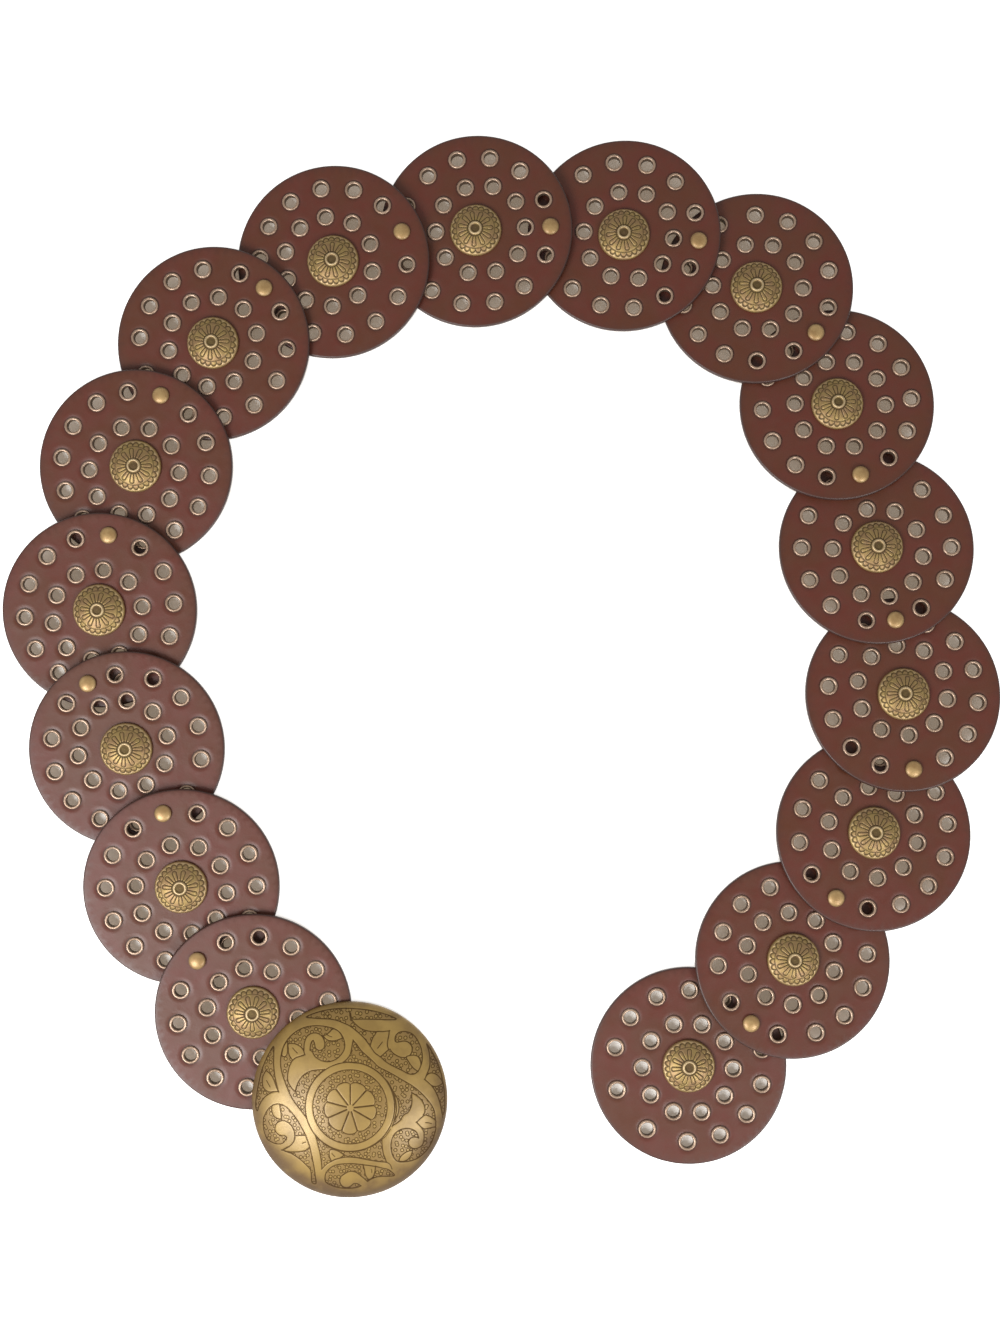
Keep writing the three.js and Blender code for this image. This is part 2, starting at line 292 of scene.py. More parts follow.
# Frame of each disc, read from its solid: middle of the leather, its lean, and +X towards the next rivet
def readDiscs():
    discs = []
    for index in range(discCount):
        name = numbered("disc", index)
        mesh = cadNodes[name].data
        middle = middleOf(name)
        normal = sum((face.normal * face.area for face in mesh.polygons if face.normal.z > 0.7), Vector())
        normal.normalize()
        if index + 1 < discCount:
            toNext = middleOf(numbered("rivet", index)) - middle
        else:
            toNext = middle - middleOf(numbered("rivet", index - 1))
        ahead = (toNext - normal * toNext.dot(normal)).normalized()
        side = normal.cross(ahead)
        frameMatrix = Matrix((ahead, side, normal)).transposed().to_4x4()
        frameMatrix.translation = middle
        discs.append(dict(zip(eyeletColumns, eyeletRows[index]), name=name, matrix=frameMatrix, index=index,
                          heading=math.degrees(math.atan2(ahead.y, ahead.x))))
    return discs


discShape = dict(radius=38.1, thickness=2.4, rivetInset=8.85, edge=0.75, outlineSteps=132,
                 holeSteps=18, gridStep=2.0, eyeletHole=2.95, rivetHole=1.85, postHole=1.65,
                 outerPlaces=14, innerPlaces=10, conchoRadius=10.15, innerShare=0.395,
                 eyeletRings=(3.5, 4.1, 4.7, 5.4), eyeletClear=6.1, waveHeight=0.07, waveLengths=(7, 16),
                 # The last entry on the next line (strength, distance, width) paints shade in a thin dark ring just
                 # outside each eyelet's flange.
                 dent=(-0.2, 3.3, 0.85), swell=(0.06, 5.0, 0.8), eyeletShadeRing=(0.75, 3.5, 0.4),
                 rimSoil=0.55, rimSoilWidth=2.4)


def polar(radius, degrees):
    return np.array([math.cos(math.radians(degrees)), math.sin(math.radians(degrees))]) * radius


def eyeletPlaces(disc):
    shape = discShape
    circle = shape["radius"] - shape["rivetInset"]
    pairs = shape["outerPlaces"] // 2 - 1
    places = []
    for step in range(1, pairs + 1):
        pull = disc["firstPull"] * (step == 1) - disc["lastPull"] * (step == pairs)
        angle = step * 360 / shape["outerPlaces"] - pull
        places += [polar(circle, 180 + way * angle + disc["turn"]) for way in (1, -1)]
    band = circle - shape["conchoRadius"]
    offset = polar(disc["shift"] * band, disc["shiftAt"] - disc["heading"])
    for step in range(shape["innerPlaces"]):
        ring = polar(shape["conchoRadius"] + shape["innerShare"] * band, step * 360 / shape["innerPlaces"])
        places.append(ring + offset)
    return np.array(places)


def ringPoints(centre, radius, steps):
    angles = np.arange(steps) * 2 * math.pi / steps
    return np.array(centre) + radius * np.stack([np.cos(angles), np.sin(angles)], 1)


# Triangles of a punched round sheet: a constrained net with rings of points round each hole
def discNet(holes, puckered):
    shape = discShape
    flatRadius = shape["radius"] - shape["edge"]
    loops = [ringPoints((0, 0), flatRadius, shape["outlineSteps"])]
    loops += [ringPoints(centre, radius, shape["holeSteps"]) for centre, radius in holes]
    extra = [ringPoints((0, 0), flatRadius - 1.0, shape["outlineSteps"] // 2)]
    for centre in puckered:
        extra += [ringPoints(centre, ring, shape["holeSteps"]) for ring in shape["eyeletRings"]]
    step = shape["gridStep"]
    rows = np.arange(-flatRadius, flatRadius, step * 0.87)
    grid = np.array([(x + (row % 2) * step / 2, y) for row, y in enumerate(rows)
                     for x in np.arange(-flatRadius, flatRadius, step)])
    grid = grid[np.hypot(*grid.T) < flatRadius - 1.9]
    for centre, radius in holes:
        reach = shape["eyeletClear"] if radius == shape["eyeletHole"] else radius + 0.9
        grid = grid[np.hypot(*(grid - centre).T) > reach]
    loose = np.concatenate(extra)
    loose = loose[np.hypot(*loose.T) < flatRadius - 0.5]
    for centre, radius in holes:
        loose = loose[np.hypot(*(loose - centre).T) > radius + 0.3]
    points = np.concatenate([*loops, loose, grid])
    edges = []
    start = 0
    for loop in loops:
        edges += [(start + k, start + (k + 1) % len(loop)) for k in range(len(loop))]
        start += len(loop)
    found, _, faces, origins, _, _ = delaunay_2d_cdt([Vector(p) for p in points], edges, [], 0, 1e-6)
    found = np.array(found)
    faces = np.array(faces)
    inside = found[faces].mean(1)
    keep = np.hypot(*inside.T) < flatRadius * math.cos(math.pi / shape["outlineSteps"]) + 1e-3
    for centre, radius in holes:
        keep &= np.hypot(*(inside - centre).T) > radius * math.cos(math.pi / shape["holeSteps"])
    where = {source: place for place, sources in enumerate(origins) for source in sources}
    loopIndices = []
    start = 0
    for loop in loops:
        loopIndices.append([where[start + k] for k in range(len(loop))])
        start += len(loop)
    return found, faces[keep], loopIndices


def hump(away, height, middle, width):      # a round ridge at one distance from a hole
    return height * np.exp(-((away - middle) / width) ** 2)


def makeDisc(disc, material):
    shape = discShape
    random = np.random.default_rng(100 + disc["index"])
    eyelets = eyeletPlaces(disc)
    circle = shape["radius"] - shape["rivetInset"]
    holes = [(centre, shape["eyeletHole"]) for centre in eyelets]
    holes += [(np.zeros(2), shape["postHole"]), (np.array([circle, 0]), shape["rivetHole"])]
    if disc["index"] > 0:
        holes.append((np.array([-circle, 0]), shape["rivetHole"]))
    flat, faces, loops = discNet(holes, eyelets)
    half = shape["thickness"] / 2

    # Slow waves of the sheet, and the pucker that each eyelet presses into the top
    waves = np.zeros(len(flat))
    for _ in range(4):
        direction = polar(1 / random.uniform(*shape["waveLengths"]), random.uniform(0, 360))
        waves += shape["waveHeight"] * np.sin(flat @ direction + random.uniform(0, 6.3))
    pucker = np.zeros(len(flat))
    fromRim = shape["radius"] - np.hypot(*flat.T)
    # Darkening for the edge attribute: the cut rim's own darker colour near the outline, and painted shade in a thin
    # ring just outside each eyelet's flange.
    edgeDarkAndShadeRing = np.clip((shape["rimSoilWidth"] - fromRim) / 2.2, 0, 1) ** 2 * shape["rimSoil"]
    for centre in eyelets:
        away = np.hypot(*(flat - centre).T)
        pucker += hump(away, *shape["dent"]) + hump(away, *shape["swell"])
        edgeDarkAndShadeRing = np.maximum(edgeDarkAndShadeRing, hump(away, *shape["eyeletShadeRing"]))
    top = np.column_stack([flat, half + waves + pucker])
    bottom = np.column_stack([flat, -half + waves])
    count = len(flat)
    vertices = [top, bottom]
    allFaces = [faces, faces[:, ::-1] + count]
    edgeValue = [edgeDarkAndShadeRing, edgeDarkAndShadeRing]
    backValue = [np.zeros(count), np.ones(count)]

    # Rounded rim, from the top loop down to the bottom loop
    start = 2 * count
    outline = np.array(loops[0])
    outward = flat[outline] / np.hypot(*flat[outline].T)[:, None]
    previous = outline
    bendSteps = 4
    corner = shape["radius"] - shape["edge"]
    for side in (1, -1):
        for bend in range(bendSteps):
            turn = (bend + 1) / bendSteps * math.pi / 2 if side == 1 else bend / bendSteps * math.pi / 2
            reach = math.sin(turn) if side == 1 else math.cos(turn)
            drop = math.cos(turn) if side == 1 else -math.sin(turn)
            ring = np.column_stack([
                outward * (corner + shape["edge"] * reach),
                side * (half - shape["edge"]) + shape["edge"] * drop + waves[outline]])
            vertices.append(ring)
            edgeValue.append(np.full(len(ring), 0.55 + 0.45 * reach))
            backValue.append(np.zeros(len(ring)))
            current = np.arange(start, start + len(ring))
            allFaces.append(np.column_stack([previous, current, np.roll(current, -1), np.roll(previous, -1)]))
            start += len(ring)
            previous = current
    current = outline + count
    allFaces.append(np.column_stack([previous, current, np.roll(current, -1), np.roll(previous, -1)]))
    for loop in loops[1:]:
        ring = np.array(loop)
        allFaces.append(np.column_stack([ring, np.roll(ring, -1), np.roll(ring, -1) + count, ring + count]))

    vertices = np.concatenate(vertices) * mm
    faceList = [tuple(face) for block in allFaces for face in block.tolist()]
    piece = newPiece(f"leather_{disc['index'] + 1:02d}", vertices, faceList, material, smoothBelow=50)
    setAttribute(piece, "edge", np.concatenate(edgeValue))
    setAttribute(piece, "back", np.concatenate(backValue))
    piece.data.transform(disc["matrix"])
    return settle(piece, [disc["name"]])


# Turns a profile of (radius, height) pairs into a closed round shape. A pair on the axis becomes a pole.
def turned(profile, steps):
    vertices = []
    faces = []
    rings = []
    for radius, height in profile:
        if radius == 0:
            rings.append([len(vertices)] * steps)
            vertices.append((0, 0, height))
            continue
        rings.append(list(range(len(vertices), len(vertices) + steps)))
        for step in range(steps):
            angle = 2 * math.pi * step / steps
            vertices.append((radius * math.cos(angle), radius * math.sin(angle), height))
    closed = profile[0][0] > 0
    pairs = list(zip(rings, rings[1:] + rings[:1])) if closed else list(zip(rings, rings[1:]))
    for lower, upper in pairs:
        for step in range(steps):
            after = (step + 1) % steps
            face = [lower[step], lower[after], upper[after], upper[step]]
            faces.append(tuple(dict.fromkeys(face)))
    return np.array(vertices) * mm, faces


eyeletShape = dict(bore=2.42, flange=3.5, crown=0.58, backFlange=3.3, backCrown=0.25, steps=14)


def eyeletModel(material):
    size = eyeletShape
    top = discShape["thickness"] / 2
    bore, flange = size["bore"], size["flange"]
    profile = [(bore, -top - size["backCrown"]), (size["backFlange"], -top - size["backCrown"] * 0.6),
               (flange, top - 0.1), (flange - 0.1, top + size["crown"] * 0.6),
               (flange - 0.42, top + size["crown"]), (bore + 0.16, top + size["crown"] * 0.75),
               (bore, top + 0.05)]
    vertices, faces = turned(profile, size["steps"])
    model = newPiece("eyelet_model", vertices, faces, material, smoothBelow=70)
    # Painted shade: the bore's wall is darkened for the shade inside the hole.
    inBore = [index in (0, len(profile) - 1) for index in range(len(profile))]
    setAttribute(model, "patinaAndShade", 0.75 * np.repeat(inBore, size["steps"]))
    return model


# Geometry Nodes that set a model on every point of a mesh, each turned and tilted a little at random
def scatterTree(model, material):
    tree = bpy.data.node_groups.new("set_on_points", "GeometryNodeTree")
    tree.interface.new_socket("Points", in_out="INPUT", socket_type="NodeSocketGeometry")
    tree.interface.new_socket("Largest tilt", in_out="INPUT", socket_type="NodeSocketFloat")
    tree.interface.new_socket("Size spread", in_out="INPUT", socket_type="NodeSocketFloat")
    tree.interface.new_socket("Seed", in_out="INPUT", socket_type="NodeSocketInt")
    tree.interface.new_socket("Result", in_out="OUTPUT", socket_type="NodeSocketGeometry")

    def add(kind, settings=None, values=None):
        node = tree.nodes.new(kind)
        for key, value in (settings or {}).items():
            setattr(node, key, value)
        for key, value in (values or {}).items():
            if isinstance(value, bpy.types.NodeSocket):
                tree.links.new(value, node.inputs[key])
            else:
                node.inputs[key].default_value = value
        return node

    given = add("NodeGroupInput").outputs
    shape = add("GeometryNodeObjectInfo", None, {"Object": model})
    negative = add("ShaderNodeMath", {"operation": "MULTIPLY"}, {0: given["Largest tilt"], 1: -1.0})
    lowTilt = add("ShaderNodeCombineXYZ", None,
                  {"X": negative.outputs[0], "Y": negative.outputs[0], "Z": -math.pi})
    highTilt = add("ShaderNodeCombineXYZ", None,
                   {"X": given["Largest tilt"], "Y": given["Largest tilt"], "Z": math.pi})
    tilt = add("FunctionNodeRandomValue", {"data_type": "FLOAT_VECTOR"},
               {0: lowTilt.outputs[0], 1: highTilt.outputs[0], "Seed": given["Seed"]})
    smallest = add("ShaderNodeMath", {"operation": "SUBTRACT"}, {0: 1.0, 1: given["Size spread"]})
    largest = add("ShaderNodeMath", {"operation": "ADD"}, {0: 1.0, 1: given["Size spread"]})
    size = add("FunctionNodeRandomValue", {"data_type": "FLOAT"},
               {2: smallest.outputs[0], 3: largest.outputs[0], "Seed": given["Seed"]})
    placed = add("GeometryNodeInstanceOnPoints", None, {
        "Points": given["Points"], "Instance": shape.outputs["Geometry"],
        "Rotation": tilt.outputs[0], "Scale": size.outputs[1]})
    real = add("GeometryNodeRealizeInstances", None, {"Geometry": placed.outputs[0]})
    coated = add("GeometryNodeSetMaterial", None, {"Geometry": real.outputs[0], "Material": material})
    add("NodeGroupOutput", None, {"Result": coated.outputs[0]})
    return tree


def setOnPoints(name, places, tree, settings):
    mesh = bpy.data.meshes.new(name)
    mesh.from_pydata([tuple(place) for place in places], [], [])
    carrier = bpy.data.objects.new(name, mesh)
    bpy.context.scene.collection.objects.link(carrier)
    modifier = carrier.modifiers.new("set", "NODES")
    modifier.node_group = tree
    for item in tree.interface.items_tree:
        if item.in_out == "INPUT" and item.name in settings:
            modifier[item.identifier] = settings[item.name]
    bpy.context.view_layer.update()
    result = bpy.data.meshes.new_from_object(carrier.evaluated_get(bpy.context.evaluated_depsgraph_get()))
    carrier.modifiers.remove(modifier)
    carrier.data = result
    bpy.data.meshes.remove(mesh)
    result.name = name
    return carrier


def makeEyelets(discs, material):
    model = eyeletModel(material)
    tree = scatterTree(model, material)
    for disc in discs:
        places = [(*place * mm, 0) for place in eyeletPlaces(disc)]
        piece = setOnPoints(numbered("eyelets", disc["index"]), places, tree, {
            "Largest tilt": 0.035, "Size spread": 0.015, "Seed": disc["index"]})
        piece.data.transform(disc["matrix"])
        settle(piece)
    bpy.data.objects.remove(model)


rivetShape = dict(cap=3.3, capHeight=1.5, edge=0.35, back=1.0, shaft=1.5, steps=28)


def makeRivets(material):
    size = rivetShape
    low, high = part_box("rivet_01")
    height = (high.z - low.z) / mm
    under = height - size["capHeight"]
    dome = []
    for step in range(7):
        share = math.cos(step / 6 * math.pi / 2)
        rise = size["edge"] + (size["capHeight"] - size["edge"]) * (1 - share ** 2) ** 0.62
        dome.append((size["cap"] * share if step < 6 else 0, under + rise))
    profile = [(0, 0), (size["cap"] - 0.2, 0), (size["cap"], 0.2), (size["cap"], size["back"] - 0.15),
               (size["cap"] - 0.2, size["back"]), (size["shaft"], size["back"]), (size["shaft"], under),
               (size["cap"] - 0.1, under), *dome]
    vertices, faces = turned(profile, size["steps"])
    model = newPiece("rivet_model", vertices, faces, material, smoothBelow=40)
    # Painted shade: everything beyond three quarters of the cap's radius is darkened, for the shade on the cap's
    # sides.
    fromAxis = np.hypot(vertices[:, 0], vertices[:, 1]) / mm
    setAttribute(model, "patinaAndShade", 0.5 * np.clip(fromAxis / size["cap"] - 0.75, 0, 0.25) / 0.25)
    tree = scatterTree(model, material)
    names = [numbered("rivet", index) for index in range(discCount - 1)]
    places = [(middleOf(name).x, middleOf(name).y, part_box(name)[0].z) for name in names]
    piece = setOnPoints("rivets", places, tree, {"Largest tilt": 0.0, "Size spread": 0.0, "Seed": 3})
    bpy.data.objects.remove(model)
    settle(piece, names)


conchoShape = dict(radius=10.15, seatGap=0.3, height=4.5, rim=0.6, around=230, across=45, post=1.3,
                   ringRadius=2.2, ringHalf=0.5, ringHeight=0.5, dishRadius=1.8, dishDepth=0.25,
                   petals=11, petalHalf=(0.5, 0.82), petalTip=6.15, lineHalf=0.26, lineDepth=0.2,
                   scallops=23, scallopRadius=7.85, scallopReach=1.45)


def bumpOf(distance, half):      # 1 on a line, 0 beyond its half width, smooth between
    return np.clip(1 - (distance / half) ** 2, 0, 1) ** 1.5


def aroundMiddle(angle, count):      # angle from the middle of the nearest of count equal sectors
    sector = 2 * math.pi / count
    return (angle + sector / 2) % sector - sector / 2


# Raised ring round a dish, long petals with round ends, and a border of scallops inside the rim
def conchoRelief(radius, angle, scallopStart):
    size = conchoShape
    near = aroundMiddle(angle, size["petals"])
    across = radius * np.sin(near)
    along = radius * np.cos(near)
    narrow, wide = size["petalHalf"]
    half = np.interp(along, [3.2, size["petalTip"]], [narrow, wide])
    outline = np.hypot(across, np.maximum(along - size["petalTip"], 0)) - half
    dark = bumpOf(outline, size["lineHalf"]) * (radius > 3.0)
    pillow = np.clip(-outline / wide, 0, 1) * (radius > 3.0) * 0.08

    near = aroundMiddle(angle - scallopStart, size["scallops"])
    halfWidth = math.pi * 8.4 / size["scallops"]
    across = radius * np.sin(near) / halfWidth
    along = (radius * np.cos(near) - size["scallopRadius"]) / size["scallopReach"]
    outline = (np.hypot(across, np.maximum(along, 0)) - 0.94) * halfWidth
    band = (radius > 7.6) & (radius < 9.6)
    corner = np.clip((outline - 0.22) / 0.15, 0, 1) * np.clip((9.75 - radius) / 0.2, 0, 1) * (radius > 8.2)
    dark = np.maximum(dark, bumpOf(outline, 0.25) * band)
    dark = np.maximum(dark, 0.8 * bumpOf(radius - 7.6, 0.24))
    dark = np.maximum(dark, bumpOf(radius - 3.0, 0.34))
    lip = 0.1 * bumpOf(radius - 9.75, 0.4) + 0.06 * corner
    ring = np.clip(1 - ((radius - size["ringRadius"]) / size["ringHalf"]) ** 2, 0, 1) ** 0.35
    dish = np.clip((size["dishRadius"] - radius) / 0.3, 0, 1)
    height = pillow + lip - size["lineDepth"] * dark + size["ringHeight"] * ring - size["dishDepth"] * dish
    shade = np.maximum(dark, 0.7 * (radius < size["dishRadius"]))
    rubbed = np.clip((size["ringHalf"] * 0.85 - np.abs(radius - size["ringRadius"])) / 0.15, 0, 1)
    rubbed = np.maximum(rubbed, 0.6 * corner * (shade < 0.1))
    return height, np.where(rubbed > 0, -rubbed, shade)


def makeConcho(disc, material):
    size = conchoShape
    seat = discShape["thickness"] / 2 + size["seatGap"]
    rows = size["across"]
    steps = size["around"]
    radii = size["radius"] * np.linspace(1, 0, rows + 1)[:-1]
    angles = np.arange(steps) * 2 * math.pi / steps
    radius, angle = np.meshgrid(radii, angles, indexing="ij")
    random = np.random.default_rng(40 + disc["index"])
    relief, patinaAndShade = conchoRelief(radius, angle, random.uniform(0, 1))
    crown = size["height"] - size["ringHeight"]
    dome = size["rim"] + (crown - size["rim"]) * (1 - (radius / size["radius"]) ** 2) ** 0.85
    height = seat + dome + relief
    surface = np.column_stack([(radius * np.cos(angle)).ravel(), (radius * np.sin(angle)).ravel(), height.ravel()])
    edgeRing = np.column_stack([np.cos(angles) * size["radius"], np.sin(angles) * size["radius"],
                                np.full(steps, seat)])
    postRing = np.column_stack([np.cos(angles) * size["post"], np.sin(angles) * size["post"], np.full(steps, seat)])
    postEnd = postRing - np.array([0, 0, seat + discShape["thickness"] / 2])
    poles = np.array([[0, 0, seat + crown - size["dishDepth"]], [0, 0, postEnd[0, 2]]])
    vertices = np.concatenate([surface, edgeRing, postRing, postEnd, poles]) * mm
    faces = []
    rings = [np.arange(steps) + row * steps for row in range(rows)]
    extra = [np.arange(steps) + (rows + k) * steps for k in range(3)]
    topPole = (rows + 3) * steps
    for outer, inner in zip([extra[2], extra[1], extra[0], *rings], [extra[1], extra[0], *rings]):
        faces += np.column_stack([outer, np.roll(outer, -1), np.roll(inner, -1), inner]).tolist()
    last = rings[-1]
    faces += np.column_stack([last, np.roll(last, -1), np.full(steps, topPole)]).tolist()
    faces += np.column_stack([np.roll(extra[2], -1), extra[2], np.full(steps, topPole + 1)]).tolist()
    piece = newPiece(f"concho_cast_{disc['index'] + 1:02d}", vertices, faces, material, smoothBelow=75)
    setAttribute(piece, "patinaAndShade", np.concatenate([patinaAndShade.ravel(), np.zeros(3 * steps), [0.3, 0]]))
    spin = random.uniform(0, 2 * math.pi)
    piece.data.transform(disc["matrix"] @ Matrix.Rotation(spin, 4, "Z"))
    return settle(piece, [numbered("concho", disc["index"])])


buckleShape = dict(radius=37.8, rise=12.0, wall=1.2, rimEdge=0.8, fullness=0.72, rings=148, steps=148)

# The buckle's engraving, charted in millimetres as it is seen from the camera, x to the right and
# y up from the rosette's middle. A point given twice is a sharp corner, the others are joined by a curve.
chartMiddle = (350.0, 1106.8)      # where the camera sees the rosette's middle, in pixels of the 1000x1333 frame
chartScale = 0.4
groundCells = dict(
    upperLeft=[
        (-27.3, 22), (-26.3, 24.8), (-24.7, 27.3), (-22.3, 29.6), (-19.5, 31.3), (-16.5, 32.2), (-13, 32.5),
        (-9.5, 32.1), (-6.3, 31.3), (-4.2, 29.9), (-3, 28.2), (-2.2, 26), (-2.1, 24), (-2.6, 22.3), (-3.8, 20.6),
        (-5.5, 19.1), (-7.7, 18.2), (-9.8, 18.1), (-12, 18.8), (-14, 20.2), (-15.5, 22.5), (-18, 22.5),
        (-18.2, 20.8), (-20, 20.2), (-21.7, 19.6), (-23, 18.5), (-24.1, 16.6), (-24.8, 14), (-25, 11.2),
        (-24.4, 9.2), (-23.2, 7.4), (-21.9, 6.1), (-21.9, 6.1), (-21.5, 7.6), (-20.9, 9.4), (-20, 11),
        (-18.8, 12.5), (-17.2, 13.7), (-15.2, 14.5), (-13, 14.8), (-10.3, 15), (-10.3, 15), (-12.3, 13.1),
        (-14.3, 10.8), (-16.1, 7.9), (-17.3, 4.7), (-17.8, 1.2), (-17.9, -1.2), (-17.5, -4.2), (-17.5, -4.2),
        (-18.6, -2.8), (-20, -0.9), (-21.3, 0.7), (-22.7, 2.7), (-24, 5), (-25, 7.4), (-26, 10), (-26.9, 12.6),
        (-27.6, 15.5), (-27.8, 18.5)],
    farLeft=[
        (-30.6, 24.2), (-30.5, 21), (-30.6, 18), (-30.4, 15), (-30.1, 12.5), (-29.6, 10), (-28.7, 6.2),
        (-28.7, 6.2), (-30.5, 6), (-32.2, 5.3), (-33.8, 4.2), (-35.3, 2.4), (-36.4, 0.4), (-37, -1.6),
        (-37.7, 0), (-37.6, 3), (-37, 7), (-36.2, 11), (-35.2, 15), (-33.9, 18.3), (-32.3, 21.6)],
    top=[
        (-17.5, 36), (-14, 37.5), (-10, 38.6), (-5, 39.3), (0, 39.4), (5, 39), (9, 38.4), (13, 37.4), (16.5, 36.2),
        (18.5, 35), (15, 34.8), (10, 35), (5, 35.1), (1, 35.2), (0.2, 37.6), (0, 36.4), (0.6, 34.9), (2.3, 33),
        (3.7, 31.8), (5.3, 30.9), (7.5, 30.3), (10.8, 30.1), (10.8, 30.1), (10, 28.9), (9.2, 27.8), (8.6, 26.3),
        (8.1, 24.3), (8.1, 24.3), (7.2, 25.5), (6, 27.1), (4.6, 28.6), (3, 30), (1.3, 31.4), (-0.5, 32.6),
        (-2.5, 33.5), (-5, 34.5), (-8, 35.1), (-12, 35.3), (-15.5, 35.6)],
    upperRight=[
        (12.3, 20), (12.3, 20), (13.8, 21.4), (15.5, 22.9), (15.5, 22.9), (17.6, 24), (18, 26), (18, 27.6),
        (18.7, 29), (20, 29.9), (22.3, 30.1), (24.5, 29.4), (26.1, 28), (27.4, 25.9), (28.4, 23.6), (28.9, 21),
        (28.9, 18.8), (28.4, 16.6), (27.4, 14.6), (26.2, 13.4), (24.7, 13), (23, 13.4), (20.8, 14.6),
        (18.3, 15.8), (15.8, 17.1), (13.8, 18.5)],
    farRight=[
        (30.6, 25.2), (31.4, 22.8), (31.9, 20), (32, 17.5), (31.6, 15.2), (30.9, 13.4), (29.9, 11), (29.9, 11),
        (31.6, 9.6), (33, 8), (34.2, 6.2), (35.2, 4), (36, 1.5), (36.5, -1), (37, -3.2), (37.7, -2), (37.9, 1),
        (37.8, 5), (37.3, 9), (36.5, 13), (35.2, 17), (33.6, 20.5), (32, 23.3)],
    right=[
        (1.3, 26.6), (1.3, 26.6), (2.6, 25.1), (4, 23.1), (5.6, 21.4), (7.6, 19.7), (9.5, 17.9), (11.3, 16.1),
        (13.5, 14.9), (16, 13.6), (18.5, 12.2), (21, 10.7), (23.5, 9.3), (25.5, 8), (27.5, 6.4), (29.4, 4.6),
        (31.2, 2.6), (32.7, 0.6), (33.7, -1.6), (34.1, -3.8), (34.2, -5.6), (34.2, -5.6), (31.5, -4.6),
        (29.4, -3.4), (29.9, -2.3), (30, -0.8), (29.7, 0.8), (28.9, 2.3), (27.8, 3.6), (26.5, 4.6), (24.7, 5.7),
        (24.7, 5.7), (24.7, 4), (24.8, 2), (24.4, 0), (23.5, -1.8), (22, -3.5), (20.5, -5), (19, -6.3),
        (17, -7.6), (17, -7.6), (17.9, -4.5), (18.5, -1.5), (18.4, 1.5), (17.5, 5.2), (16.4, 7.8), (15.2, 9.9),
        (13.5, 11.7), (11.8, 13.5), (9.6, 15.1), (7.2, 16.4), (4.5, 17.3), (1, 17.7), (-2.4, 18), (-2.4, 18),
        (-1, 19.4), (0.1, 21), (0.6, 23), (0.9, 24.8)],
    lowerRight=[
        (34.2, -8), (33.9, -10.6), (33.1, -13.1), (31.9, -15.6), (30.3, -17.8), (28.4, -19.6), (26.2, -21),
        (23.6, -21.8), (21, -22.1), (19.2, -21.9), (18, -21), (17.1, -19.5), (16.5, -17.3), (16.4, -15),
        (16.8, -12.8), (17.9, -10.8), (19.5, -9.5), (21.5, -8.8), (23.6, -8.7), (25.4, -9.2), (26.8, -10.5),
        (27.5, -12.2), (28.7, -12.4), (29.7, -10.8), (29.2, -9.2), (28.5, -8.4), (31.3, -8.6)],
    below=[
        (-13.6, -11.9), (-13.6, -11.9), (-12, -13.4), (-10, -15), (-8, -16.2), (-5, -17.3), (-2, -17.9),
        (2, -17.9), (5, -17.3), (7.5, -16.4), (10, -15.1), (12.8, -13), (12.8, -13), (12.8, -15), (13, -17),
        (13.4, -19), (14.1, -20.8), (14.6, -22.2), (14.6, -22.2), (12.5, -22), (10, -21.7), (7.5, -21.3),
        (5, -20.8), (2.5, -20.3), (0, -20.1), (-2, -20.2), (-4, -20.6), (-6, -21.2), (-7.6, -22), (-9.3, -23),
        (-11.2, -24.8), (-11.2, -24.8), (-11.3, -23.5), (-11.5, -21.5), (-11.8, -19.5), (-12.2, -17.5),
        (-12.7, -15.5), (-13.2, -13.5)],
    lowerLeft=[
        (-34.7, -5), (-34, -3), (-33, -1.2), (-31.6, 0.2), (-30, 1), (-28.5, 1.1), (-26.8, 0.7), (-25.2, -0.3),
        (-23.8, -1.8), (-22.5, -3.3), (-21.3, -5), (-20.2, -6.8), (-19, -9), (-18, -10.9), (-17.3, -12.5),
        (-16.7, -14.2), (-16.1, -16), (-15.7, -17.8), (-15.3, -19.5), (-14.9, -21.5), (-14.3, -24.5),
        (-13.9, -27.5), (-13.6, -30.6), (-15.2, -30.2), (-15.4, -27.5), (-15.8, -25.2), (-16.8, -24),
        (-18.3, -22.5), (-20, -21), (-21.8, -19.7), (-23.5, -18.7), (-25.5, -18), (-27.2, -17.3),
        (-27.2, -17.3), (-25.5, -15.5), (-25.6, -13), (-26.7, -14.4), (-28.2, -14.9), (-30, -14.7),
        (-31.5, -14), (-33, -13), (-34, -11), (-34.6, -8.5)],
    bottom=[
        (-9.7, -30), (-9.9, -27.5), (-9.2, -25.9), (-8, -24.6), (-6.4, -23.6), (-4, -23), (-1.5, -22.8),
        (1.5, -22.8), (4.5, -23.1), (7.5, -23.5), (10.3, -23.9), (12.8, -24.5), (15, -25), (16.6, -26),
        (17.8, -27.4), (15.5, -27.8), (13, -27.8), (10.6, -28.1), (8.3, -29), (6, -30.6), (3.5, -32),
        (0, -32.6), (-4, -32.4), (-7.4, -31.4)],
)

